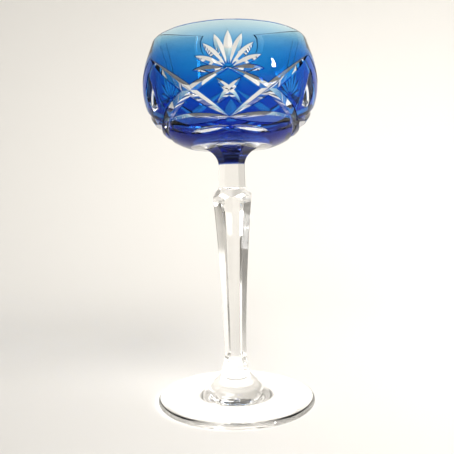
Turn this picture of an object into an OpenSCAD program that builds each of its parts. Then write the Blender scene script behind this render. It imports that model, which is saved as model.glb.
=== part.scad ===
// Cased and cut stem glass: a clear crystal bowl under a coloured casing, on a clear cut stem and foot.
// Every mitre cut goes through the casing into the crystal, so the casing is left as separate islands.
// Azimuth 0 faces -Y and grows towards +X. Lengths are in millimetres, angles in degrees.

/* [Overall] */
// Height of the glass, foot to rim
height = 184; // [183:0.5:186]
// Radius of the bowl at its widest
belly_r = 44.65; // [44:0.05:45.5]
// Height of the bowl's widest ring
belly_z = 162; // [161.5:0.5:162.5]
// Radius of the foot
foot_r = 40.8; // [37:0.1:45]

/* [Bowl wall] */
// Radius of the arc below the belly
lower_arc = 31; // [30.5:0.1:31.5]
// Radius of the arc above the belly
upper_arc = 42; // [40:0.5:44]
// Lean of the straight wall under the rim
rim_lean = 19.5; // [18.5:0.5:20.5]
// Inner radius at the rim
mouth_r = 37.8; // [37.5:0.1:38]
// Inner radius at the foot of the straight inner wall
inner_r = 37.9; // [37.5:0.1:38]
// Height where the inner wall starts to turn in
inner_z = 163; // [162:0.5:164]
// Radius of the inner bottom arc
inner_arc = 26.5; // [26:0.1:27]
// Thickness of the coloured casing
casing_t = 0.3; // [0.3:0.05:0.4]
// Height of the clear lip above the casing
lip_h = 0.8; // [0.5:0.1:1.5]

/* [Mitre cuts] */
// Number of times the pattern repeats round the bowl
repeats = 3; // [3]
// Angle between the mitre wheel's face and its mid plane
mitre_a = 60; // [57:1:62]
// Depth of the long crossing cuts
arm_depth = 1.6; // [1.5:0.05:1.6]
// Depth of the fan's petals
petal_depth = 1.45; // [1.35:0.05:1.45]
// Length of the fan's middle petal
petal_l = 17; // [16:0.2:17]
// Number of petals in a fan
petals = 9; // [5:2:9]

/* [Stem] */
// Height where the stem stands on the foot
collar_z = 13.6; // [13.2:0.1:14]
// Height where the long facets meet the shoulder
shoulder_z = 105.9; // [104:0.5:108]
// Half width of the stem across flats under the shoulder
shoulder_w = 9.8; // [9:0.1:10.5]
// Half width of the stem across flats at its narrowest
waist_w = 5.5; // [5:0.1:6]
// Half width of the neck across flats
neck_w = 5.9; // [5.6:0.1:6.2]
// Height where the clear neck meets the coloured flare
flare_z = 123.6; // [122.8:0.1:124.4]
// Height of the flat top of the flutes under the bowl
flute_z = 132.2; // [132.0:0.05:132.3]
// Radius of the wheel that ground the flutes
flute_arc = 9.7; // [9.4:0.1:10]

/* [Hidden] */
$fn = 56;
big = 200;
step_a = 360 / repeats;
bowl_bottom = belly_z - lower_arc;
lower_c = belly_r - lower_arc;
upper_c = belly_r - upper_arc;
cone_z = belly_z + upper_arc * sin(rim_lean);
cone_r = upper_c + upper_arc * cos(rim_lean);
// Each cut as [start, deepest point, end], every point as [azimuth, height]
arm_a_path = [[-5, 162.5], [38, 147.6], [80, 136]];
arm_b_path = [[-3, 140.3], [30, 156.2], [61, 173.1]];
leaf_path = [[-3, 141.2], [28, 141.4], [58, 142]];
under_path = [[-1, 138], [19, 136.9], [39.5, 136]];
star_path = [[-8.4, 146.1], [0, 151.8], [7.6, 157.4]];
leaf_depth = 2;
under_depth = 1.3;
star_depth = 1.25;
// Three-sided cut in the side panel: its corners on the surface, its deepest point and depth there
tall_corners = [[60, 165.8], [55, 148], [65, 148]];
tall_deep = [60, 150.4];
tall_depth = 2;
tall_overrun = 3;
fan_root = [0, 161.1];
fan_reach = 1.3;
fan_spread = 180;
// How far along arm a and arm b they cross each other
cross_a_t = 0.373;
cross_b_t = 0.41;
// Swept grooves: bend per length, how far the lengths lap, how far past the tips they run,
// and how far above the surface they open
cut_step_a = 10;
cut_lap_a = 0.25;
cut_overrun = 1.06;
cut_clearance = 0.4;
band_z = 141.3;
// Corners of the islands, on the middle lines of the cuts
diamond_top = [0, 161.2];
diamond_low = [0, 141.5];
panel_top = [60, 172.7];
panel_low = [60, 140.9];
// Where a leaf's tip meets arm a, as an azimuth from the panel's middle and a height
panel_shoulder = [4.25, 142.2];
rim_low = 151;
// Stem and foot
shoulder_c = shoulder_w / cos(30);
shoulder_top = 111.2;
waist_z = 10;
long_strips = 8;
collar_flare = 24;
hollow_h = 1.1;

// ---- bowl profile ----

// Outer radius of the bowl at height z
function bowl_r(z) =
    z < belly_z ? lower_c + sqrt(lower_arc ^ 2 - (belly_z - z) ^ 2)
    : z < cone_z ? upper_c + sqrt(upper_arc ^ 2 - (z - belly_z) ^ 2)
    : cone_r - (z - cone_z) * tan(rim_lean);

// Point on the bowl at p = [azimuth, height]
function on_bowl(p) = [bowl_r(p[1]) * sin(p[0]), -bowl_r(p[1]) * cos(p[0]), p[1]];

// Outward normal of the bowl at p = [azimuth, height]
function bowl_normal(p) =
    let (n = p[1] < belly_z ? [bowl_r(p[1]) - lower_c, p[1] - belly_z]
        : p[1] < cone_z ? [bowl_r(p[1]) - upper_c, p[1] - belly_z]
        : [cos(rim_lean), sin(rim_lean)])
    [n[0] * sin(p[0]), -n[0] * cos(p[0]), n[1]] / norm(n);

// Half section of the bowl as a solid, its surface moved in by inset
module bowl_outline(inset) {
    arc = upper_arc - inset;
    bend = [upper_c + arc * cos(rim_lean), belly_z + arc * sin(rim_lean)];
    top_r = bend[0] - (height - bend[1]) * tan(rim_lean);
    intersection() {
        translate([lower_c, belly_z]) circle(lower_arc - inset);
        translate([lower_c, 0]) square([big, belly_z]);
    }
    translate([0, bowl_bottom + inset]) square([lower_c, lower_arc - inset]);
    intersection() {
        translate([upper_c, belly_z]) circle(arc);
        translate([0, belly_z]) square([big, bend[1] - belly_z]);
    }
    polygon([[0, belly_z], [upper_c, belly_z], bend, [top_r, height], [0, height]]);
}

// Half section of the hollow of the bowl
module hollow_outline() {
    polygon([[0, inner_z], [inner_r, inner_z], [mouth_r, height], [mouth_r, height + 1], [0, height + 1]]);
    intersection() {
        translate([inner_r - inner_arc, inner_z]) circle(inner_arc);
        translate([inner_r - inner_arc, 0]) square([big, inner_z]);
    }
    translate([0, inner_z - inner_arc]) square([inner_r - inner_arc, inner_arc]);
}

// Clear glass: everything under the casing, and the lip above it
module crystal_blank() {
    rotate_extrude() difference() {
        union() {
            bowl_outline(casing_t);
            intersection() {
                bowl_outline(0);
                translate([0, height - lip_h]) square([big, lip_h]);
            }
        }
        hollow_outline();
    }
}

// Coloured skin between the heights low and high
module casing_blank(low, high) {
    rotate_extrude() intersection() {
        difference() {
            bowl_outline(0);
            bowl_outline(casing_t);
        }
        translate([0, low]) square([big, min(high, height - lip_h) - low]);
    }
}

// ---- mitre cuts ----

function unit(v) = v / norm(v);

// Mirror image of a path in azimuth 0, for side = -1
function sided(path, side) = [for (p = path) [side * p[0], p[1]]];

// Arc that the wheel's edge follows through a path, as
// [centre, unit vector to its deepest point, unit vector along it, radius, half its angle]
function cut_arc(path, depth) =
    let (start = on_bowl(path[0]), end = on_bowl(path[2]), along = unit(end - start),
        to_deep = on_bowl(path[1]) - depth * bowl_normal(path[1]) - (start + end) / 2,
        rise = to_deep - (to_deep * along) * along, half_l = norm(end - start) / 2,
        r = (half_l ^ 2 + norm(rise) ^ 2) / (2 * norm(rise)))
    [(start + end) / 2 + unit(rise) * (norm(rise) - r), unit(rise), along, r, asin(half_l / r)];

// Points of [azimuth, height] on the bottom line of a cut, from t0 to t1 of the way along it
function stretch(path, depth, t0, t1) =
    let (arc = cut_arc(path, depth))
    [for (k = [0:4])
        let (a = arc[4] * (2 * (t0 + (t1 - t0) * k / 4) - 1),
            p = arc[0] + arc[3] * (cos(a) * arc[1] + sin(a) * arc[2]))
        [atan2(p[0], -p[1]), p[2]]];

// Groove of a V-edged wheel along a path, its flanks even about the surface's normal at the deepest point.
// It is a chain of short convex lengths between sections of the V.
module mitre_cut(path, depth) {
    arc = cut_arc(path, depth);
    out = arc[1];
    side = cross(out, arc[2]);
    normal = bowl_normal(path[1]);
    lean = atan2(normal * side, normal * out);
    flank_l = (depth + cut_clearance) / cos(mitre_a);
    section = [[0, 0], for (a = [lean - mitre_a, lean + mitre_a]) flank_l * [cos(a), sin(a)]];
    sweep = cut_overrun * arc[4];
    steps = ceil(2 * sweep / cut_step_a);
    bend = 2 * sweep / steps;
    for (k = [0:steps - 1])
        hull()
            polyhedron([
                for (a = [k * bend - sweep, (k + 1) * bend - sweep + cut_lap_a], v = section)
                    arc[0] + (arc[3] + v[0]) * (cos(a) * out + sin(a) * arc[2]) + v[1] * side],
                [[0, 1, 2], [3, 4, 5]]);
}

module arm_a(side) mitre_cut(sided(arm_a_path, side), arm_depth);

module arm_b(side) mitre_cut(sided(arm_b_path, side), arm_depth);

module leaf(side) mitre_cut(sided(leaf_path, side), leaf_depth);

module under_leaf(side) mitre_cut(sided(under_path, side), under_depth);

module star_cut(side) mitre_cut(sided(star_path, side), star_depth);

// Three flat flanks that meet at one deep point, carried well past the surface
module tall_cut() {
    deep = on_bowl(tall_deep) - tall_depth * bowl_normal(tall_deep);
    hull()
        polyhedron(concat([deep], [for (p = tall_corners) deep + tall_overrun * (on_bowl(p) - deep)]),
            [[0, 1, 2], [0, 2, 3], [0, 3, 1], [1, 3, 2]]);
}

// One petal of the fan, at angle a from upright; those at the sides are shorter and shallower
module petal(a) {
    deg = 180 / (PI * belly_r);
    long = petal_l * (1 - 0.1 * abs(a) / 90);
    from = fan_root + fan_reach * [sin(a) * deg, cos(a)];
    to = fan_root + (fan_reach + long) * [sin(a) * deg, cos(a)];
    mitre_cut([from, (from + to) / 2, to], petal_depth * (1 - 0.25 * abs(a) / 90));
}

module fan() {
    for (i = [0:petals - 1])
        petal(fan_spread * (i / (petals - 1) - 0.5));
}

// Arms and leaves round one diamond
module lattice() {
    for (side = [-1, 1]) {
        arm_a(side);
        arm_b(side);
        leaf(side);
    }
}

module every_repeat() {
    for (i = [0:repeats - 1])
        rotate([0, 0, i * step_a])
            children();
}

module all_cuts() {
    every_repeat() {
        lattice();
        fan();
        tall_cut();
        for (side = [-1, 1]) {
            star_cut(side);
            under_leaf(side);
        }
    }
}

// ---- islands between the cuts ----

// Stretches of arm a and arm b
function on_a(t0, t1) = stretch(arm_a_path, arm_depth, t0, t1);
function on_b(t0, t1) = stretch(arm_b_path, arm_depth, t0, t1);

// Same outline on the other side of azimuth 0, its points in the opposite order
function mirrored(outline) = [for (k = [len(outline) - 1:-1:0]) [-outline[k][0], outline[k][1]]];

// Turns an island's outline, points of [azimuth, height], into a prism that points out at azimuth a
module island_prism(outline, a) {
    rotate([0, 0, a])
        rotate([90, 0, 0])
            linear_extrude(big / 2)
                polygon([for (p = outline) [bowl_r(p[1]) * sin(p[0] - a), p[1]]]);
}

// ---- flutes and facets ----

// Both halves of a half section that is drawn on the +X side
module both_sides() {
    children();
    mirror([1, 0]) children();
}

// Stands a section on edge, as the cut of one pair of opposite facets whose normals lie at azimuth a
module facet_pair(a) {
    rotate([0, 0, a + 90])
        rotate([90, 0, 0])
            linear_extrude(big, center = true)
                children();
}

// Space between six facets, the first of them at azimuth a
module six_facets(a) {
    intersection() {
        facet_pair(a) children();
        facet_pair(a + 60) children();
        facet_pair(a + 120) children();
    }
}

// Section left by a pair of flutes from the neck out under the bowl, from height low up
module flute_section(low) {
    spring_z = flute_z - flute_arc;
    both_sides()
        difference() {
            translate([0, low]) square([big / 2, height + 1 - low]);
            translate([neck_w, low - 1]) square([big, spring_z + 1 - low]);
            translate([neck_w + flute_arc, spring_z - 1]) square([big, flute_arc + 1]);
            translate([neck_w + flute_arc, spring_z]) circle(flute_arc);
        }
}

// Half widths of the stem at height z: across the neck's flats, and across the long facets
function flat_w(z) = lookup(z, [
    [collar_z, 7.7], [collar_z + 4.8, 7.5], [collar_z + 9, 6.3], [collar_z + 13, 13],
    [shoulder_z - 2, shoulder_c + 2], [shoulder_z, shoulder_c], [shoulder_top - 1.3, neck_w + 0.9],
    [shoulder_top, neck_w + 0.2], [flare_z, neck_w]]);
function long_w(z) =
    z > collar_flare ? waist_w + (shoulder_w - waist_w) * ((z - waist_z) / (shoulder_z - waist_z)) ^ 2
    : lookup(z, [[collar_z, 7.4], [collar_z + 4.8, 6.9], [collar_z + 9, 5.75], [collar_flare, 5.6]]);

// Corners of the stem's section at height z, where flats and long facets meet
function stem_ring(z) =
    let (flat = min(flat_w(z), long_w(z) / cos(30)), long = min(long_w(z), flat_w(z) / cos(30)),
        half = (long - flat * cos(30)) / sin(30))
    [for (k = [0:5], y = [-half, half])
        [y * cos(60 * k) + flat * sin(60 * k), y * sin(60 * k) - flat * cos(60 * k), z]];

// ---- parts ----

module bowl_crystal() color([0.93, 0.96, 0.97, 0.5])
    difference() {
        intersection() {
            crystal_blank();
            six_facets(0) flute_section(bowl_bottom - 1);
        }
        all_cuts();
    }

// Everything of one repeat below the rim's casing
module under_rim() {
    sector = step_a / 2 + 1;
    low = rim_low - 1;
    right = concat(
        on_a(0.11, cross_a_t),
        on_b(cross_b_t, 0.95),
        [panel_top],
        [for (z = [170:-5:low]) [sector, z]]);
    island_prism(concat([diamond_top], right, mirrored(right)), 0);
}

module rim_casing() color([0.16, 0.45, 0.72])
    difference() {
        casing_blank(rim_low, height);
        every_repeat() {
            fan();
            under_rim();
            for (side = [-1, 1]) {
                arm_a(side);
                arm_b(side);
            }
        }
    }

module lower_band_casing() color([0.05, 0.12, 0.5])
    difference() {
        intersection() {
            casing_blank(bowl_bottom, band_z);
            six_facets(0) flute_section(bowl_bottom - 1);
        }
        translate([0, 0, bowl_bottom - 1]) cylinder(h = casing_t + 2, r = neck_w + flute_arc + 0.5);
        every_repeat() {
            lattice();
            for (side = [-1, 1])
                under_leaf(side);
            rotate([0, 0, step_a / 2])
                island_prism([[0, panel_low[1]], panel_shoulder, [-panel_shoulder[0], panel_shoulder[1]]], 0);
        }
    }

module flare_casing() color([0.04, 0.06, 0.35])
    six_facets(0)
        intersection() {
            flute_section(flare_z);
            translate([-big / 2, flare_z]) square([big, bowl_bottom + casing_t - flare_z]);
        }

// Island between four crossing arms, at azimuth step_a * (i - 1), with a star cut in it
module diamond_casing(i) color([0.05, 0.25, 0.65]) {
    right = concat(on_a(0.11, cross_a_t), on_b(cross_b_t, 0.08));
    rotate([0, 0, (i - 1) * step_a])
        difference() {
            intersection() {
                casing_blank(diamond_low[1] - 1, diamond_top[1] + 1);
                island_prism(concat([diamond_top], right, [diamond_low], mirrored(right)), 0);
            }
            for (side = [-1, 1]) {
                arm_a(side);
                arm_b(side);
                star_cut(side);
            }
        }
}

// Tall island half way between two diamonds, with the three-sided cut in it
module side_panel_casing(i) color([0.06, 0.22, 0.6]) {
    // Outline as seen from half way between the diamonds
    right = [for (p = concat(on_b(0.95, cross_b_t), on_a(cross_a_t, 0.76))) [step_a / 2 - p[0], p[1]]];
    outline = concat([[0, panel_top[1]]], right, [[0, panel_low[1]]], mirrored(right));
    rotate([0, 0, (i - 1) * step_a])
        difference() {
            intersection() {
                casing_blank(panel_low[1] - 1, panel_top[1] + 1);
                rotate([0, 0, step_a / 2]) island_prism(outline, 0);
            }
            for (side = [-1, 1])
                rotate([0, 0, side > 0 ? 0 : step_a]) {
                    arm_a(side);
                    arm_b(side);
                    leaf(side);
                }
            tall_cut();
        }
}

// Low island under a crossing: odd i to the right of a diamond, even i to its left
module triangle_casing(i) color([0.05, 0.2, 0.6])
    rotate([0, 0, floor((i - 1) / 2) * step_a])
        mirror([1 - i % 2, 0, 0])
            difference() {
                intersection() {
                    casing_blank(band_z - 1, diamond_top[1] - 5);
                    island_prism(
                        concat(
                            on_a(cross_a_t, 0.75),
                            stretch(leaf_path, leaf_depth, 0.955, 0.075),
                            on_b(0.08, cross_b_t)),
                        step_a / 4);
                }
                arm_a(1);
                arm_b(1);
                leaf(1);
            }

module stem() color([0.93, 0.95, 0.96, 0.5]) {
    strip = (shoulder_z - collar_flare) / long_strips;
    levels = concat(
        [collar_z, collar_z + 4.8, collar_z + 9],
        [for (k = [0:long_strips]) collar_flare + k * strip],
        [shoulder_z + 2.3, shoulder_top - 1.3, shoulder_top, flare_z]);
    for (k = [1:len(levels) - 1])
        hull()
            polyhedron(concat(stem_ring(levels[k - 1]), stem_ring(levels[k])),
                [[for (i = [0:11]) i], [for (i = [12:23]) i]]);
}

module foot() color([0.9, 0.93, 0.94, 0.5])
    rotate_extrude()
        foot_outline();

// Half section of the foot: flat ring to stand on, shallow hollow inside it, round edge, swept cone
module foot_outline() {
    edge = 1.5;
    sweep_r = 14.5;
    sweep = [23, 4 + sweep_r];
    difference() {
        union() {
            polygon([
                [0, 0], [foot_r - edge, 0], [foot_r - edge, 2 * edge], [sweep[0], 4],
                [sweep[0] - 11.2, 9.3], [10.6, 11], [7.9, collar_z], [0, collar_z]]);
            translate([foot_r - edge, edge]) circle(edge);
        }
        translate(sweep) circle(sweep_r);
        polygon([[0, 0], [0, hollow_h], [foot_r - 16, hollow_h * 0.7], [foot_r - 8, 0]]);
    }
}

bowl_crystal();
rim_casing();
lower_band_casing();
flare_casing();
stem();
foot();
for (i = [1:repeats]) {
    diamond_casing(i);
    side_panel_casing(i);
}
for (i = [1:2 * repeats])
    triangle_casing(i);
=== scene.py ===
import functools
import math

import bmesh
import bpy
from mathutils import Matrix, Vector


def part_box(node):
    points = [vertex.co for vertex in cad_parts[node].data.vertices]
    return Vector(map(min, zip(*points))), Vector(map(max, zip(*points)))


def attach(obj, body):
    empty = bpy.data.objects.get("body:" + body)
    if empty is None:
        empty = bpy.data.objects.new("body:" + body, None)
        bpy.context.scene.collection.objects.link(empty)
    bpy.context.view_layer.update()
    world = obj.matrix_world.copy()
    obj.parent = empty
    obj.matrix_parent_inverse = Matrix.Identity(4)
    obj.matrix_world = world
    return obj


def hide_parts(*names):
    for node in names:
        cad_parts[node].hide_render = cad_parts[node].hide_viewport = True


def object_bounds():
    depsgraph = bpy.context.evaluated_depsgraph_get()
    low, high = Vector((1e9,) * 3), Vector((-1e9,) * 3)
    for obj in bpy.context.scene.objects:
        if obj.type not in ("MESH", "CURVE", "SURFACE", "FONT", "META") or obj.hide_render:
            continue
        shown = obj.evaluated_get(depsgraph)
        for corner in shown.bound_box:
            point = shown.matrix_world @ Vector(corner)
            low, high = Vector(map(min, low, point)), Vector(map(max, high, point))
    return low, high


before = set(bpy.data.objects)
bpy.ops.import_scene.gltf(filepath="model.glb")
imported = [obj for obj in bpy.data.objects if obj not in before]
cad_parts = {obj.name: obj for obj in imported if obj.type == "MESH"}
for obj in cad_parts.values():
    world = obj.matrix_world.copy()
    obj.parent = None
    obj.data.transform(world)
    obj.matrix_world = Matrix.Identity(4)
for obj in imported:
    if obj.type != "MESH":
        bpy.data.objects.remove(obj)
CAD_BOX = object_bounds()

# Cut and cased stem glass. Lengths here are millimetres until a mesh is made, angles are degrees.
# Azimuth 0 faces -Y and grows towards +X, as in the CAD model.
MM = 0.001

# ---- driving sizes: the frame's where it has them ----
HEIGHT = CAD_BOX[1].z / MM
FOOT_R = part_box("foot")[1].x / MM
BELLY_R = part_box("rim_casing")[1].x / MM
STEM_LOW, STEM_TOP = (corner.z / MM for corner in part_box("stem"))
CRYSTAL_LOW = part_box("bowl_crystal")[0].z / MM
BAND_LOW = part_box("lower_band_casing")[0].z / MM
CASING_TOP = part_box("rim_casing")[1].z / MM

BELLY_Z = 162.0
LOWER_ARC, UPPER_ARC, RIM_LEAN = 31.0, 42.0, 19.5
LOWER_C, UPPER_C = BELLY_R - LOWER_ARC, BELLY_R - UPPER_ARC
CONE_Z = BELLY_Z + UPPER_ARC * math.sin(math.radians(RIM_LEAN))
CASING_T = 0.3
JOINT_GAP = 0.012  # between the faces of two glasses that are fused, so that they don't flicker
MOUTH_R, INNER_R, INNER_Z, INNER_ARC = 37.8, 37.9, 163.0, 26.5
LIP_ROUND_H = 0.71
LIP_ROUND_Z = HEIGHT - LIP_ROUND_H

REPEATS = 3
STEP_A = 360.0 / REPEATS
TURNS = [i * STEP_A for i in range(REPEATS)]
SEGMENTS = 288
MITRE_A = 60.0

# Cuts as [start, deepest, end] of (azimuth, height), with their depth
ARM_A = ([(-5, 162.5), (38, 147.6), (80, 136)], 1.6)
ARM_B = ([(-3, 140.3), (30, 156.2), (61, 173.1)], 1.6)
LEAF = ([(-3, 141.2), (28, 141.4), (58, 142)], 2.0)
UNDER = ([(-1, 138), (19, 136.9), (39.5, 136)], 1.3)
STAR = ([(-8.4, 146.1), (0, 151.8), (7.6, 157.4)], 1.25)
TALL_CORNERS, TALL_DEEP, TALL_DEPTH = [(60, 165.8), (55, 148), (65, 148)], (60, 150.4), 2.0
TALL_OVERRUN = 3  # how far its cutter goes past the corners, in lengths from the deepest point
PETALS, PETAL_L, PETAL_DEPTH = 9, 17.0, 1.45
PETAL_SHORTER, PETAL_SHALLOWER = 0.1, 0.25  # shares of length and depth that a level petal lacks
FAN_REACH, FAN_SPREAD = 1.3, 180.0
FAN_ROOT_Z = 161.1
CROSS_A, CROSS_B = 0.373, 0.41  # how far along arm a and arm b they cross
BAND_Z = 141.3
DIAMOND_TOP, DIAMOND_LOW = (0, 161.2), (0, 141.5)
PANEL_TOP, PANEL_LOW = (60, 172.7), (60, 140.9)
PANEL_SHOULDER = (4.25, 142.2)  # where a leaf meets arm a: azimuth from the panel's middle, height
RIM_LOW = 151.0  # below every corner of the rim's casing

# Flare and stem: half widths across flats, heights, and the radius of the flutes' wheel
NECK_W, FLUTE_Z, FLUTE_ARC = 5.9, 132.2, 9.7
SHOULDER_Z, SHOULDER_W, WAIST_W, WAIST_Z = 105.9, 9.8, 5.5, 10.0
SHOULDER_C = SHOULDER_W / math.cos(math.radians(30))
SHOULDER_TOP = 111.2
COLLAR_FLARE = 24.0
STEM_EDGE, FLARE_EDGE = 0.07, 0.08  # how softly polishing has rounded the edges between facets


# ---- bowl surfaces, as radius and slope at a height ----

def arc_r(centre_r, centre_z, radius, z):
    return centre_r + math.sqrt(max(radius ** 2 - (z - centre_z) ** 2, 0.0))


def outer_r(z, inset=0.0):
    lean = math.radians(RIM_LEAN)
    bend_z = BELLY_Z + (UPPER_ARC - inset) * math.sin(lean)
    if z < BELLY_Z:
        return arc_r(LOWER_C, BELLY_Z, LOWER_ARC - inset, z)
    if z < bend_z:
        return arc_r(UPPER_C, BELLY_Z, UPPER_ARC - inset, z)
    return UPPER_C + (UPPER_ARC - inset) * math.cos(lean) - (z - bend_z) * math.tan(lean)


def outer_normal(r, z):
    """Outward normal (radial, vertical) of the bowl's outer surface, or of one inset from it."""
    if z < BELLY_Z:
        n = Vector((r - LOWER_C, z - BELLY_Z))
    elif z < CONE_Z:
        n = Vector((r - UPPER_C, z - BELLY_Z))
    else:
        n = Vector((math.cos(math.radians(RIM_LEAN)), math.sin(math.radians(RIM_LEAN))))
    return n.normalized()


def inner_r(z):
    if z > INNER_Z:
        return INNER_R + (MOUTH_R - INNER_R) * (z - INNER_Z) / (HEIGHT - INNER_Z)
    return arc_r(INNER_R - INNER_ARC, INNER_Z, INNER_ARC, z)


def inner_normal(r, z):
    """Normal of the hollow's wall, pointing into the hollow."""
    if z > INNER_Z:
        slope = (MOUTH_R - INNER_R) / (HEIGHT - INNER_Z)
        return Vector((-1.0, slope)).normalized()
    return Vector((INNER_R - INNER_ARC - r, INNER_Z - z)).normalized()


def on_bowl(p):
    a, r = math.radians(p[0]), outer_r(p[1])
    return Vector((r * math.sin(a), -r * math.cos(a), p[1]))


def bowl_normal(p):
    a, n = math.radians(p[0]), outer_normal(outer_r(p[1]), p[1])
    return Vector((n.x * math.sin(a), -n.x * math.cos(a), n.y))


# ---- mesh makers ----

def make_object(name, points, faces):
    """Mesh object from millimetre points."""
    mesh = bpy.data.meshes.new(name)
    mesh.from_pydata([Vector(p) * MM for p in points], [], faces)
    mesh.update()
    piece = bpy.data.objects.new(name, mesh)
    bpy.context.scene.collection.objects.link(piece)
    return piece


def revolve(name, profile, closed=False, segments=SEGMENTS):
    """Solid of revolution from (r, z) points; an open profile starts and ends on the axis."""
    points, faces, rings = [], [], []
    for r, z in profile:
        if r < 1e-6:
            rings.append([len(points)] * segments)
            points.append((0, 0, z))
            continue
        rings.append(range(len(points), len(points) + segments))
        for i in range(segments):
            a = 2 * math.pi * i / segments
            points.append((r * math.sin(a), -r * math.cos(a), z))
    last = len(rings) if closed else len(rings) - 1
    for k in range(last):
        low, high = rings[k], rings[(k + 1) % len(rings)]
        for i in range(segments):
            j = (i + 1) % segments
            corners = [low[i], low[j], high[j], high[i]]
            faces.append(list(dict.fromkeys(corners)))
    return make_object(name, points, faces)


def arc_points(centre, radius, from_a, to_a, step=1.2):
    """Points on a circle in the (r, z) plane, ends included."""
    count = max(2, round(abs(to_a - from_a) / step))
    angles = [math.radians(from_a + (to_a - from_a) * k / count) for k in range(count + 1)]
    return [(centre[0] + radius * math.cos(a), centre[1] + radius * math.sin(a)) for a in angles]


def outer_profile(inset, low, high):
    """Points up the bowl's outer surface, moved in by inset, between two heights."""
    def angle(z, radius):
        return math.degrees(math.asin(max(-1.0, min(1.0, (z - BELLY_Z) / radius))))

    lower, upper = LOWER_ARC - inset, UPPER_ARC - inset
    points = arc_points((LOWER_C, BELLY_Z), lower, angle(low, lower), min(0.0, angle(high, lower)))
    if high > BELLY_Z:
        points += arc_points((UPPER_C, BELLY_Z), upper, 0, min(RIM_LEAN, angle(high, upper)))[1:]
    if high > points[-1][1] + 0.01:
        points.append((outer_r(high, inset), high))
    return points


def crystal_blank():
    """The clear bowl before cutting, with its lip."""
    outer_top = outer_r(LIP_ROUND_Z)
    lip_r = (outer_top - MOUTH_R) / 2
    profile = [(0, CRYSTAL_LOW)]
    profile += outer_profile(CASING_T, CRYSTAL_LOW, CASING_TOP)
    profile += [(outer_r(CASING_TOP), CASING_TOP)]
    lip = arc_points((MOUTH_R + lip_r, 0.0), lip_r, 0, 180, 15)
    profile += [(r, LIP_ROUND_Z + z * LIP_ROUND_H / lip_r) for r, z in lip]
    profile += [(inner_r(z), z) for z in (180, 174, 168)]
    profile += arc_points((INNER_R - INNER_ARC, INNER_Z), INNER_ARC, 0, -90)
    profile += [(0, INNER_Z - INNER_ARC)]
    return revolve("bowl_crystal_glass", profile)


def casing_blank(name, low, high):
    """Coloured skin between two heights, a joint's gap clear of the crystal."""
    outside = outer_profile(0.0, low, high)
    inside = outer_profile(CASING_T - JOINT_GAP, low, high)
    return revolve(name, outside + inside[::-1], closed=True)


def cut_arc(path, depth):
    """Arc that a wheel's edge follows: centre, outward and forward directions, radius, half angle."""
    start, end = on_bowl(path[0]), on_bowl(path[2])
    along, middle = (end - start).normalized(), (start + end) / 2
    to_deep = on_bowl(path[1]) - depth * bowl_normal(path[1]) - middle
    rise = to_deep - to_deep.dot(along) * along
    half_l = (end - start).length / 2
    r = (half_l ** 2 + rise.length_squared) / (2 * rise.length)
    out = rise.normalized()
    return middle + out * (rise.length - r), out, along, r, math.asin(half_l / r)


def groove(path, depth, at=(0.0,), mirrored=False):
    """Cutter for a V-edged wheel's groove, once for each turn: a V swept on the path's arc."""
    steps = 44
    overrun, clearance = 1.06, 0.4  # past the path's ends, and above the deepest point's surface
    path = [(-a if mirrored else a, z) for a, z in path]
    centre, out, along, r, half_a = cut_arc(path, depth)
    side, normal = out.cross(along), bowl_normal(path[1])
    lean = math.atan2(normal.dot(side), normal.dot(out))
    flank_l = (depth + clearance) / math.cos(math.radians(MITRE_A))
    section = [(0.0, 0.0)]
    for flank in (-1, 1):
        a = lean + flank * math.radians(MITRE_A)
        section.append((flank_l * math.cos(a), flank_l * math.sin(a)))
    points = []
    for k in range(steps + 1):
        a = overrun * half_a * (2 * k / steps - 1)
        spoke = math.cos(a) * out + math.sin(a) * along
        points += [centre + (r + u) * spoke + w * side for u, w in section]
    faces = [[0, 1, 2], [3 * steps + 2, 3 * steps + 1, 3 * steps]]
    for k in range(0, 3 * steps, 3):
        for i, j in ((0, 1), (1, 2), (2, 0)):
            faces.append([k + i, k + 3 + i, k + 3 + j, k + j])
    cutter = make_object("cutter", *repeated(points, faces, at))
    face_outwards(cutter)
    return cutter


def repeated(points, faces, at):
    """The same points and faces once for each turn about the stem."""
    all_points, all_faces = [], []
    for turn in at:
        turned = Matrix.Rotation(math.radians(turn), 3, "Z")
        all_faces += [[len(all_points) + i for i in face] for face in faces]
        all_points += [turned @ Vector(p) for p in points]
    return all_points, all_faces


def face_outwards(piece, merge=0.0):
    """Turns a closed mesh's faces outwards, after merging points closer than merge metres."""
    mesh = bmesh.new()
    mesh.from_mesh(piece.data)
    if merge:
        bmesh.ops.remove_doubles(mesh, verts=mesh.verts, dist=merge)
    bmesh.ops.recalc_face_normals(mesh, faces=mesh.faces)
    mesh.to_mesh(piece.data)
    mesh.free()


def tall_cut(at):
    """Three-sided cutter: flat flanks that meet at one deep point, carried well past the surface."""
    deep = on_bowl(TALL_DEEP) - TALL_DEPTH * bowl_normal(TALL_DEEP)
    points = [deep] + [deep + TALL_OVERRUN * (on_bowl(p) - deep) for p in TALL_CORNERS]
    faces = [[0, 1, 2], [0, 2, 3], [0, 3, 1], [1, 3, 2]]
    cutter = make_object("cutter", *repeated(points, faces, at))
    face_outwards(cutter)
    return cutter


def both_hands(cut, at=(0.0,)):
    return [groove(*cut, at=at), groove(*cut, at=at, mirrored=True)]


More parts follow.
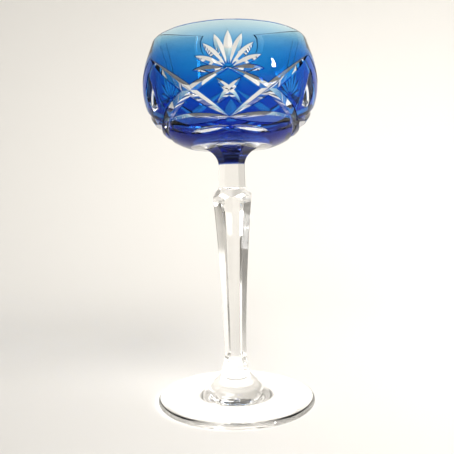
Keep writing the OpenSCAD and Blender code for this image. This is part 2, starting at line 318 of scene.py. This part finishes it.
def fans():
    """The petals of the fans, from one side through upright to the other."""
    cutters = []
    across = 180 / (math.pi * BELLY_R)  # degrees round the belly per millimetre
    for i in range(PETALS):
        a = FAN_SPREAD * (i / (PETALS - 1) - 0.5)
        lean, level = math.radians(a), abs(a) / 90
        long = PETAL_L * (1 - PETAL_SHORTER * level)
        path = []
        for reach in (FAN_REACH, FAN_REACH + long / 2, FAN_REACH + long):
            path.append((reach * math.sin(lean) * across, FAN_ROOT_Z + reach * math.cos(lean)))
        cutters.append(groove(path, PETAL_DEPTH * (1 - PETAL_SHALLOWER * level), TURNS))
    return cutters


def bar(points):
    """Closed straight bar; the points are the outline at one end, then the same at the other."""
    count = len(points) // 2
    faces = [list(range(count)), list(range(2 * count - 1, count - 1, -1))]
    faces += [[i, (i + 1) % count, count + (i + 1) % count, count + i] for i in range(count)]
    cutter = make_object("bar", points, faces)
    face_outwards(cutter)
    return cutter


def prism(outline, a):
    """Cutter from an outline of (azimuth, height) points, pushed straight out at azimuth a."""
    far = 60.0
    flat = [(outer_r(z) * math.sin(math.radians(az - a)), z) for az, z in outline]
    turned = Matrix.Rotation(math.radians(a), 3, "Z")
    return bar([turned @ Vector((x, y, z)) for y in (0.0, -far) for x, z in flat])


def flute_cutters():
    """What six ground flutes take off the crystal's underside: one bar each, with a hollow end."""
    low, far = CRYSTAL_LOW - 1, 40.0
    heights = [low + (FLUTE_Z - low) * math.sin(math.pi / 2 * k / 8) for k in range(9)]
    outline = [(flute_w(z), z) for z in heights] + [(far, FLUTE_Z), (far, low)]
    cutters = []
    for k in range(6):
        turned = Matrix.Rotation(math.radians(60 * k), 3, "Z")
        cutters.append(bar([turned @ Vector((x, -r, z)) for x in (-far, far) for r, z in outline]))
    return cutters


def carve(piece, steps):
    """Applies (operation, cutter) pairs to a piece and removes the cutters."""
    for operation, cutter in steps:
        boolean = piece.modifiers.new("carve", "BOOLEAN")
        boolean.operation, boolean.object, boolean.solver = operation, cutter, "MANIFOLD"
    shown = piece.evaluated_get(bpy.context.evaluated_depsgraph_get())
    mesh = bpy.data.meshes.new_from_object(shown)
    piece.modifiers.clear()
    mesh.materials.clear()
    old, piece.data = piece.data, mesh
    mesh.name = piece.name
    bpy.data.meshes.remove(old)
    for cutter in {cutter.name: cutter for _, cutter in steps}.values():
        bpy.data.objects.remove(cutter)
    return piece


def minus(cutters):
    return [("DIFFERENCE", cutter) for cutter in cutters]


# ---- islands ----

def stretch(cut, t0, t1):
    """Points of (azimuth, height) on a cut's bottom line, from t0 to t1 of the way along it."""
    centre, out, along, r, half_a = cut_arc(*cut)
    line = []
    for k in range(5):
        a = half_a * (2 * (t0 + (t1 - t0) * k / 4) - 1)
        p = centre + r * (math.cos(a) * out + math.sin(a) * along)
        line.append((math.degrees(math.atan2(p.x, -p.y)), p.z))
    return line


def mirrored(outline):
    return [(-a, z) for a, z in reversed(outline)]


def diamond():
    right = stretch(ARM_A, 0.11, CROSS_A) + stretch(ARM_B, CROSS_B, 0.08)
    outline = [DIAMOND_TOP] + right + [DIAMOND_LOW] + mirrored(right)
    piece = casing_blank("diamond_casing_glass_1", DIAMOND_LOW[1] - 1, DIAMOND_TOP[1] + 1)
    cutters = both_hands(ARM_A) + both_hands(ARM_B) + both_hands(STAR)
    return carve(piece, [("INTERSECT", prism(outline, 0.0))] + minus(cutters))


def side_panel():
    half = STEP_A / 2
    route = stretch(ARM_B, 0.95, CROSS_B) + stretch(ARM_A, CROSS_A, 0.76)
    right = [(half - a, z) for a, z in route]
    outline = [(0, PANEL_TOP[1])] + right + [(0, PANEL_LOW[1])] + mirrored(right)
    outline = [(half + a, z) for a, z in outline]
    piece = casing_blank("side_panel_casing_glass_1", PANEL_LOW[1] - 1, PANEL_TOP[1] + 1)
    cutters = [tall_cut((0.0,))] + [groove(*cut) for cut in (ARM_A, ARM_B, LEAF)]
    cutters += [groove(*cut, at=(STEP_A,), mirrored=True) for cut in (ARM_A, ARM_B, LEAF)]
    return carve(piece, [("INTERSECT", prism(outline, half))] + minus(cutters))


def triangle(name, hand):
    outline = stretch(ARM_A, CROSS_A, 0.75) + stretch(LEAF, 0.955, 0.075) + stretch(ARM_B, 0.08, CROSS_B)
    outline = [(hand * a, z) for a, z in outline]
    piece = casing_blank(name, BAND_Z - 1, DIAMOND_TOP[1] - 5)
    cutters = [groove(*cut, mirrored=hand < 0) for cut in (ARM_A, ARM_B, LEAF)]
    return carve(piece, [("INTERSECT", prism(outline, hand * STEP_A / 4))] + minus(cutters))


def under_rim(turn):
    """Everything below the rim's casing in the repeat at this turn."""
    sector = STEP_A / 2 + 1
    right = stretch(ARM_A, 0.11, CROSS_A) + stretch(ARM_B, CROSS_B, 0.95) + [PANEL_TOP]
    right += [(sector, z) for z in (170, 165, 160, 155, 150)]
    outline = [DIAMOND_TOP] + right + mirrored(right)
    cutter = prism(outline, 0.0)
    cutter.data.transform(Matrix.Rotation(math.radians(turn), 4, "Z"))
    return cutter


def rim():
    piece = casing_blank("rim_casing_glass", RIM_LOW, CASING_TOP)
    cutters = fans() + [under_rim(turn) for turn in TURNS]
    return carve(piece, minus(cutters + both_hands(ARM_A, TURNS) + both_hands(ARM_B, TURNS)))


def lower_band():
    piece = casing_blank("lower_band_casing_glass", BAND_LOW, BAND_Z)
    shoulder = [(0, PANEL_LOW[1]), PANEL_SHOULDER, (-PANEL_SHOULDER[0], PANEL_SHOULDER[1])]
    middles = [turn + STEP_A / 2 for turn in TURNS]
    cutters = [prism([(middle + a, z) for a, z in shoulder], middle) for middle in middles]
    for cut in (ARM_A, ARM_B, LEAF, UNDER):
        cutters += both_hands(cut, TURNS)
    return carve(piece, minus(cutters))


def crystal():
    cutters = flute_cutters() + fans() + [tall_cut(TURNS)]
    for cut in (ARM_A, ARM_B, LEAF, STAR, UNDER):
        cutters += both_hands(cut, TURNS)
    return carve(crystal_blank(), minus(cutters))


def turned_copy(piece, name, turn):
    copy = bpy.data.objects.new(name, piece.data.copy())
    copy.data.transform(Matrix.Rotation(math.radians(turn), 4, "Z"))
    bpy.context.scene.collection.objects.link(copy)
    return copy


# ---- stem, flare and foot ----

def lookup(z, table):
    """Value at height z on straight lines through a table of (height, value)."""
    if z <= table[0][0]:
        return table[0][1]
    for (z0, v0), (z1, v1) in zip(table, table[1:]):
        if z <= z1:
            return v0 + (v1 - v0) * (z - z0) / (z1 - z0)
    return table[-1][1]


FLATS = [
    (STEM_LOW, 7.7), (STEM_LOW + 4.8, 7.5), (STEM_LOW + 9, 6.3), (STEM_LOW + 13, 13),
    (SHOULDER_Z - 2, SHOULDER_C + 2), (SHOULDER_Z, SHOULDER_C), (SHOULDER_TOP - 1.3, NECK_W + 0.9),
    (SHOULDER_TOP, NECK_W + 0.2), (STEM_TOP, NECK_W)]
COLLAR_LONG = [(STEM_LOW, 7.4), (STEM_LOW + 4.8, 6.9), (STEM_LOW + 9, 5.75), (COLLAR_FLARE, 5.6)]


def long_w(z):
    """Half width across the long facets."""
    if z < COLLAR_FLARE:
        return lookup(z, COLLAR_LONG)
    return WAIST_W + (SHOULDER_W - WAIST_W) * ((z - WAIST_Z) / (SHOULDER_Z - WAIST_Z)) ** 2


def softened(width, z, reach):
    """A width averaged over a short height, which rounds its creases as polishing does."""
    count = 8
    return sum(width(z + reach * (2 * k / count - 1)) for k in range(count + 1)) / (count + 1)


@functools.lru_cache(maxsize=None)
def stem_widths(z):
    reach = 0.35
    flat = softened(lambda h: lookup(min(max(h, STEM_LOW), STEM_TOP), FLATS), z, reach)
    return flat, softened(lambda h: long_w(max(h, STEM_LOW)), z, reach)


def flute_w(z):
    spring_z = FLUTE_Z - FLUTE_ARC
    if z < spring_z:
        return NECK_W
    return NECK_W + FLUTE_ARC - math.sqrt(max(FLUTE_ARC ** 2 - (z - spring_z) ** 2, 0.0))


@functools.lru_cache(maxsize=None)
def facet_radius(a, widths, edge):
    """Radius of a polished prism at angle a; widths are the half widths of facets 30 degrees apart."""
    total = 0.0
    for k in range(12):
        width = widths[k % 2]
        lean = math.cos(a - math.radians(30 * k))
        if width is not None and lean > 0.2:
            total += math.exp(-(width / lean) / edge)
    return -edge * math.log(total)


def facet_angles(widths):
    """Angles for one ring's points, close together where two facets meet."""
    flat, long = widths
    if long is None or long > flat / math.cos(math.radians(30)):
        meet = 30.0
    elif flat > long / math.cos(math.radians(30)):
        meet = 0.0
    else:
        half = (long - flat * math.cos(math.radians(30))) / math.sin(math.radians(30))
        meet = math.degrees(math.atan2(half, flat))
    offsets = [-1.6, -1.0, -0.55, -0.2, 0.2, 0.55, 1.0, 1.6]
    first = [meet * k / 4 for k in range(4)]
    around = [min(max(meet + 1.6 * d, 0.0), 30.0) for d in offsets]
    after = [meet + (30.0 - meet) * k / 4 for k in range(1, 4)]
    return [math.radians(a) for a in sorted(first + around + after)]


def faceted_solid(name, levels, widths_at, edge):
    """Closed solid with polished facets, its normals worked out from the facets themselves."""
    points = []
    for z in levels:
        widths = widths_at(z)
        part = facet_angles(widths)
        ring = []
        for k in range(6):
            ring += [math.radians(60 * k) + a for a in part]
            ring += [math.radians(60 * (k + 1)) - a for a in reversed(part)]
        for a in ring:
            r = facet_radius(a, widths, edge)
            points.append((r * math.sin(a), -r * math.cos(a), z))
    count = len(ring)
    faces = [list(range(count)), list(range((len(levels) - 1) * count, len(levels) * count))]
    for k in range(len(levels) - 1):
        for i in range(count):
            j = (i + 1) % count
            faces.append([k * count + i, k * count + j, (k + 1) * count + j, (k + 1) * count + i])
    piece = make_object(name, points, faces)
    face_outwards(piece, merge=2e-7)

    def radius_at(a, z):
        return facet_radius(a, widths_at(z), edge)

    def normal_at(p):
        a, z, step = math.atan2(p.x, -p.y), p.z, 0.01
        r = math.hypot(p.x, p.y)
        round_slope = (radius_at(a + step / r, z) - radius_at(a - step / r, z)) / (2 * step)
        up_slope = (radius_at(a, z + step) - radius_at(a, z - step)) / (2 * step)
        outwards = Vector((math.sin(a), -math.cos(a), 0))
        round_way = Vector((math.cos(a), math.sin(a), 0))
        return (outwards - round_slope * round_way - up_slope * Vector((0, 0, 1))).normalized()

    finish_mesh(piece, lambda centre, n: "end" if abs(n.z) > 0.999 else "side",
                {"side": normal_at}, {"end": 1, "side": 0})
    return piece


def levels_between(low, high, creases, reach=0.5):
    """Heights for rings: even steps of about 2.5 mm, and close together at each crease."""
    count = max(2, round((high - low) / 2.5))
    levels = {low, high}
    levels.update(low + (high - low) * k / count for k in range(count + 1))
    for z in creases:
        levels.update(z + reach * d for d in (-1.2, -0.8, -0.5, -0.25, 0, 0.25, 0.5, 0.8, 1.2))
    kept = [z for z in sorted(levels) if low <= z <= high]
    spaced = [kept[0]]
    for z in kept[1:]:
        if z - spaced[-1] > 0.05:
            spaced.append(z)
    spaced[-1] = high
    return spaced


def stem():
    creases = [z for z, _ in FLATS] + [z for z, _ in COLLAR_LONG] + [SHOULDER_Z + 2.3]
    levels = levels_between(STEM_LOW, STEM_TOP - JOINT_GAP / 2, creases)
    return faceted_solid("stem_glass", levels, stem_widths, STEM_EDGE)


def flare():
    low, high, steps = STEM_TOP + JOINT_GAP / 2, CRYSTAL_LOW - JOINT_GAP, 24
    levels = [low + (high - low) * k / steps for k in range(steps + 1)]
    return faceted_solid("flare_casing_glass", levels, lambda z: (flute_w(z), None), FLARE_EDGE)


def foot():
    """Foot: flat standing ring, shallow hollow inside it, round edge, swept cone up to the stem."""
    edge, sweep_r, disc_z = 1.5, 14.5, 4.0
    rim_c, sweep_c = FOOT_R - edge, (23.0, disc_z + sweep_r)
    sweep_top = (11.8, 9.3)
    top = STEM_LOW - JOINT_GAP
    profile = [(0, 1.1), (12.0, 1.02), (24.8, 0.77), (29.0, 0.42)]
    profile += [(32.8, 0.0), (34.5, 0.0), (36.5, 0.0)]
    profile += arc_points((rim_c, edge), edge, -90, 87, 9)
    for k in range(1, 8):
        part = k / 8
        profile.append((rim_c + (sweep_c[0] - rim_c) * part, 2 * edge + (disc_z - 2 * edge) * part))
    up_a = math.degrees(math.atan2(sweep_c[1] - sweep_top[1], sweep_c[0] - sweep_top[0])) - 180
    profile += arc_points(sweep_c, sweep_r, -90.0, up_a, 2.5)
    profile += [(10.6, 11.0), (9.3, 12.3), (7.95, top), (0, top)]
    piece = revolve("foot_glass", profile)
    face_outwards(piece)
    finish_mesh(piece, lambda centre, n: "joint" if centre.z > top - 0.01 else "skin", {},
                {"joint": 1, "skin": 0})
    return piece


# ---- shading normals and material places ----

def finish_mesh(piece, kind_of, normal_at, slots):
    """Sorts faces into kinds, sets each kind's material place, and gives kinds their true normals."""
    mesh = piece.data
    sharp_a = math.radians(17)
    for face in mesh.polygons:
        face.use_smooth = True
    mesh.set_sharp_from_angle(angle=sharp_a)
    normals = [Vector(c.vector) for c in mesh.corner_normals]
    for face in mesh.polygons:
        kind = kind_of(Vector(face.center) / MM, Vector(face.normal))
        face.material_index = slots.get(kind, 0)
        if kind in normal_at:
            for i in face.loop_indices:
                p = mesh.vertices[mesh.loops[i].vertex_index].co / MM
                true = normal_at[kind](p)
                if true.dot(face.normal) > 0.9:
                    normals[i] = true
    mesh.normals_split_custom_set([tuple(n) for n in normals])


def radial(normal):
    """Turns a (radial, vertical) normal function into one for points in space."""
    def at(p):
        r = math.hypot(p.x, p.y)
        n = normal(r, p.z)
        return Vector((n.x * p.x / r, n.x * p.y / r, n.y))
    return at


def skin_kinds(outer_inset, inner_inset):
    """Sorts a bowl piece's faces by the surface they lie on; anything else is a cut."""
    near = 0.012

    def kind_of(centre, n):
        r, z = math.hypot(centre.x, centre.y), centre.z
        if r < 0.01:
            return "bottom"
        ray = Vector((n.x * centre.x / r + n.y * centre.y / r, n.z))
        facing = ray.dot(outer_normal(r, z))
        if outer_inset is not None and abs(r - outer_r(z, outer_inset)) < near and facing > 0.985:
            return "outside"
        if inner_inset is not None and abs(r - outer_r(z, inner_inset)) < near and facing < -0.985:
            return "inside"
        return None
    return kind_of


def finish_casing(piece):
    kinds = skin_kinds(0.0, CASING_T - JOINT_GAP)
    normals = {"outside": radial(outer_normal), "inside": radial(lambda r, z: -outer_normal(r, z))}
    finish_mesh(piece, kinds, normals, {"outside": 0, None: 0, "inside": 1})


def finish_crystal(piece):
    casing_side = skin_kinds(CASING_T, None)
    near = 0.02

    def kind_of(centre, n):
        r, z = math.hypot(centre.x, centre.y), centre.z
        if n.z < -0.999 and z < CRYSTAL_LOW + near:
            return "flare_joint"
        if n.z < -0.999 and abs(z - CASING_TOP) < near:
            return "step"
        if casing_side(centre, n) == "outside" and z > BAND_LOW:
            return "joint"
        if z < HEIGHT - 1.0 and r > 11.0 and abs(r - inner_r(z)) < near:
            return "hollow"
        return None

    normals = {"joint": radial(outer_normal), "hollow": radial(inner_normal)}
    finish_mesh(piece, kind_of, normals, {"joint": 1, "step": 1, "flare_joint": 1})


# ---- materials ----

CRYSTAL_IOR = 1.54
CASING_SHINE_IOR = 1.25  # lower than the crystal's, so that reflections don't wash the colour out
POLISH = (140.0, 0.00001)  # scale and height of the waviness that hand polishing leaves


def new_material(name):
    material = bpy.data.materials.new(name)
    material.use_nodes = True
    nodes = material.node_tree.nodes
    nodes.clear()
    output = nodes.new("ShaderNodeOutputMaterial")
    return material, nodes, material.node_tree.links, output


def height_ramp(nodes, links, stops):
    """Colour by height on the glass: stops are (height in mm, colour)."""
    place = nodes.new("ShaderNodeTexCoord")
    split = nodes.new("ShaderNodeSeparateXYZ")
    links.new(place.outputs["Object"], split.inputs[0])
    span = nodes.new("ShaderNodeMapRange")
    low, high = stops[0][0], stops[-1][0]
    span.inputs["From Min"].default_value = low * MM
    span.inputs["From Max"].default_value = high * MM
    links.new(split.outputs["Z"], span.inputs["Value"])
    ramp = nodes.new("ShaderNodeValToRGB")
    ramp.color_ramp.interpolation = "B_SPLINE"
    while len(ramp.color_ramp.elements) < len(stops):
        ramp.color_ramp.elements.new(0.5)
    for element, (z, colour) in zip(ramp.color_ramp.elements, stops):
        element.position = (z - low) / (high - low)
        element.color = (*colour, 1.0)
    links.new(span.outputs["Result"], ramp.inputs["Fac"])
    return ramp.outputs["Color"]


def polish_bump(nodes, links, scale, distance):
    """Very slight waviness of hand polished glass."""
    place = nodes.new("ShaderNodeTexCoord")
    noise = nodes.new("ShaderNodeTexNoise")
    noise.inputs["Scale"].default_value = scale
    noise.inputs["Detail"].default_value = 1.0
    links.new(place.outputs["Object"], noise.inputs["Vector"])
    bump = nodes.new("ShaderNodeBump")
    bump.inputs["Strength"].default_value = 1.0
    bump.inputs["Distance"].default_value = distance
    links.new(noise.outputs["Fac"], bump.inputs["Height"])
    return bump.outputs["Normal"]


def glass(name, colour):
    """Clear or evenly coloured lead crystal."""
    material, nodes, links, output = new_material(name)
    shader = nodes.new("ShaderNodeBsdfPrincipled")
    shader.inputs["Transmission Weight"].default_value = 1.0
    shader.inputs["IOR"].default_value = CRYSTAL_IOR
    shader.inputs["Roughness"].default_value = 0.0
    shader.inputs["Base Color"].default_value = (*colour, 1.0)
    links.new(polish_bump(nodes, links, *POLISH), shader.inputs["Normal"])
    links.new(shader.outputs["BSDF"], output.inputs["Surface"])
    return material


def casing_glass(name, stops):
    """Coloured glass that bends light as the crystal does, with a faint shine."""
    material, nodes, links, output = new_material(name)
    body = nodes.new("ShaderNodeBsdfRefraction")
    body.inputs["IOR"].default_value = CRYSTAL_IOR
    body.inputs["Roughness"].default_value = 0.0
    links.new(height_ramp(nodes, links, stops), body.inputs["Color"])
    shine = nodes.new("ShaderNodeBsdfAnisotropic")
    shine.inputs["Roughness"].default_value = 0.0
    edge = nodes.new("ShaderNodeFresnel")
    edge.inputs["IOR"].default_value = CASING_SHINE_IOR
    mix = nodes.new("ShaderNodeMixShader")
    polish = polish_bump(nodes, links, *POLISH)
    for node in (body, shine, edge):
        links.new(polish, node.inputs["Normal"])
    links.new(edge.outputs["Fac"], mix.inputs["Fac"])
    links.new(body.outputs["BSDF"], mix.inputs[1])
    links.new(shine.outputs["BSDF"], mix.inputs[2])
    links.new(mix.outputs["Shader"], output.inputs["Surface"])
    return material


def joint(name, stops=None):
    """Face where two glasses are fused: it bends nothing, and may tint what passes."""
    material, nodes, links, output = new_material(name)
    shader = nodes.new("ShaderNodeBsdfTransparent")
    if stops:
        links.new(height_ramp(nodes, links, stops), shader.inputs["Color"])
    else:
        shader.inputs["Color"].default_value = (1.0, 1.0, 1.0, 1.0)
    links.new(shader.outputs["BSDF"], output.inputs["Surface"])
    return material


# What one pass through the casing lets by, linear colour by height
TINT = [
    (131.0, (0.020, 0.050, 0.38)),
    (141.0, (0.014, 0.130, 0.56)),
    (152.0, (0.012, 0.215, 0.68)),
    (163.0, (0.015, 0.250, 0.72)),
    (170.0, (0.040, 0.310, 0.74)),
    (175.0, (0.180, 0.450, 0.74)),
    (180.0, (0.460, 0.690, 0.82)),
    (184.5, (0.720, 0.860, 0.90)),
]
SKIN_SHARE = 0.35  # how much of the tint the casing's face gives, the rest is on its inner face
# The flare is solid colour, and darker where it is wider
FLARE_TINT = [
    (123.0, (0.10, 0.17, 0.50)),
    (127.0, (0.03, 0.06, 0.32)),
    (132.0, (0.03, 0.06, 0.32)),
]


def shared(tint, part):
    """One of two filters that together give the tint."""
    return [(z, tuple(c ** part for c in colour)) for z, colour in tint]


CRYSTAL = glass("cut_crystal", (0.985, 0.992, 0.996))
# Painted shade: the stem and foot use a darker, creamier copy of the bowl's clear crystal, which dims
# them where light through unshadowed glass makes them too bright
SHADED_CRYSTAL = glass("crystal_painted_darker", (0.90, 0.893, 0.878))
CRYSTAL_JOINT = joint("crystal_under_casing")
CASING = casing_glass("cased_blue", shared(TINT, SKIN_SHARE))
CASING_JOINT = joint("casing_backing", stops=shared(TINT, 1 - SKIN_SHARE))
FLARE = casing_glass("flare_blue", FLARE_TINT)


def dress(piece, nodes, skin, under):
    """Materials, body and the CAD nodes that a piece stands for."""
    piece.data.materials.append(skin)
    piece.data.materials.append(under)
    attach(piece, "root")
    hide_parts(*nodes)
    # Clear glass lets the light through to the table
    piece.visible_shadow = skin not in (CRYSTAL, SHADED_CRYSTAL)


def build_bowl():
    piece = crystal()
    finish_crystal(piece)
    dress(piece, ["bowl_crystal"], CRYSTAL, CRYSTAL_JOINT)
    rings = [(rim(), "rim_blue", "rim_casing"), (lower_band(), "bowl_blue", "lower_band_casing")]
    for piece, slot, node in rings:
        finish_casing(piece)
        dress(piece, [node], CASING, CASING_JOINT)


def build_islands():
    """Each island of one repeat, then its copies in the other two."""
    masters = {
        "diamond": [diamond()],
        "side_panel": [side_panel()],
        "triangle": [triangle("triangle_casing_glass_1", 1), triangle("triangle_casing_glass_2", -1)],
    }
    for kind, pieces in masters.items():
        for piece in pieces:
            finish_casing(piece)
        for i, turn in enumerate(TURNS):
            for k, master in enumerate(pieces):
                number = i * len(pieces) + k + 1
                piece = master
                if i:
                    piece = turned_copy(master, f"{kind}_casing_glass_{number}", turn)
                dress(piece, [f"{kind}_casing_{number}"], CASING, CASING_JOINT)


def build_stem_and_foot():
    dress(flare(), ["flare_casing"], FLARE, CRYSTAL_JOINT)
    # The stem and foot wear the darker crystal copy, painted shade that dims them
    dress(stem(), ["stem"], SHADED_CRYSTAL, CRYSTAL_JOINT)
    dress(foot(), ["foot"], SHADED_CRYSTAL, CRYSTAL_JOINT)


# ---- studio, in metres but for the backdrop ----

# The camera's place before its small turn about the stem, its lens, and how it is held in degrees
EYE, LENS = (-0.0031, -0.2712, 0.09904), 41.23
EYE_TURN, LOOK_DOWN, ROLL = 1.3, 1.74, -1.25
PAPER = (0.62, 0.603, 0.572, 1.0)
WINDOW_PLACE, WINDOW_SIZE, WINDOW_POWER = (0.62, -0.42, 0.42), (0.06, 0.12), 6.0
WASH_PLACE, WASH_AIM, WASH_SIZE, WASH_POWER = (0.42, -0.35, 0.75), (0.12, 0.9, 0.2), (0.8, 0.6), 10.6
WASH_COLOUR, WASH_SPREAD = (1.0, 0.985, 0.96), 112


def sweep_backdrop():
    """Pale round sweep: a flat floor that curves up gently into a wall all the way round."""
    flat_r, curve_r, wall_h, segments = 260.0, 840.0, 900.0, 96
    profile = [(r, 0.0) for r in (1e-7, 60, 150)]
    profile += arc_points((flat_r, curve_r), curve_r, -90, 0, 4)
    profile += [(flat_r + curve_r, wall_h)]
    under_foot = 0.02
    piece = revolve("backdrop", [(r, z - under_foot) for r, z in profile], segments=segments)
    for face in piece.data.polygons:
        face.use_smooth = True
    material, nodes, links, output = new_material("paper")
    shader = nodes.new("ShaderNodeBsdfPrincipled")
    shader.inputs["Base Color"].default_value = PAPER
    shader.inputs["Roughness"].default_value = 0.9
    links.new(shader.outputs["BSDF"], output.inputs["Surface"])
    piece.data.materials.append(material)


def world_light():
    """Faint even light from everywhere."""
    world = bpy.data.worlds.new("studio")
    bpy.context.scene.world = world
    world.use_nodes = True
    background = world.node_tree.nodes["Background"]
    background.inputs["Color"].default_value = (1.0, 0.99, 0.97, 1.0)
    background.inputs["Strength"].default_value = 0.15


def area_light(name, place, aim, size, power, colour=(1, 1, 1)):
    """Rectangular light at a place, turned to its aim."""
    light = bpy.data.lights.new(name, "AREA")
    light.shape, light.size, light.size_y = "RECTANGLE", size[0], size[1]
    light.energy, light.color = power, colour
    lamp = bpy.data.objects.new(name, light)
    lamp.location = place
    lamp.rotation_euler = (Vector(aim) - Vector(place)).to_track_quat("-Z", "Y").to_euler()
    bpy.context.scene.collection.objects.link(lamp)
    return lamp


def camera():
    data = bpy.data.cameras.new("camera")
    data.sensor_width, data.lens, data.clip_start = 36.0, LENS, 0.005
    eye = bpy.data.objects.new("camera", data)
    eye.matrix_world = (
        Matrix.Rotation(math.radians(EYE_TURN), 4, "Z")
        @ Matrix.Translation(EYE)
        @ Matrix.Rotation(math.pi / 2 - math.radians(LOOK_DOWN), 4, "X")
        @ Matrix.Rotation(math.radians(ROLL), 4, "Z"))
    bpy.context.scene.collection.objects.link(eye)
    bpy.context.scene.camera = eye


def studio():
    camera()
    sweep_backdrop()
    world_light()
    wash = area_light("wash", WASH_PLACE, WASH_AIM, WASH_SIZE, WASH_POWER, WASH_COLOUR)
    wash.data.spread = math.radians(WASH_SPREAD)
    wash.visible_glossy = False
    area_light("window", WINDOW_PLACE, (0, 0, 0.15), WINDOW_SIZE, WINDOW_POWER)
    scene = bpy.context.scene
    scene.cycles.max_bounces = 32
    scene.cycles.transmission_bounces = 32
    scene.cycles.glossy_bounces = 12
    scene.cycles.transparent_max_bounces = 64
    scene.cycles.caustics_refractive = True
    scene.view_settings.view_transform = "Standard"


build_bowl()
build_islands()
build_stem_and_foot()
studio()
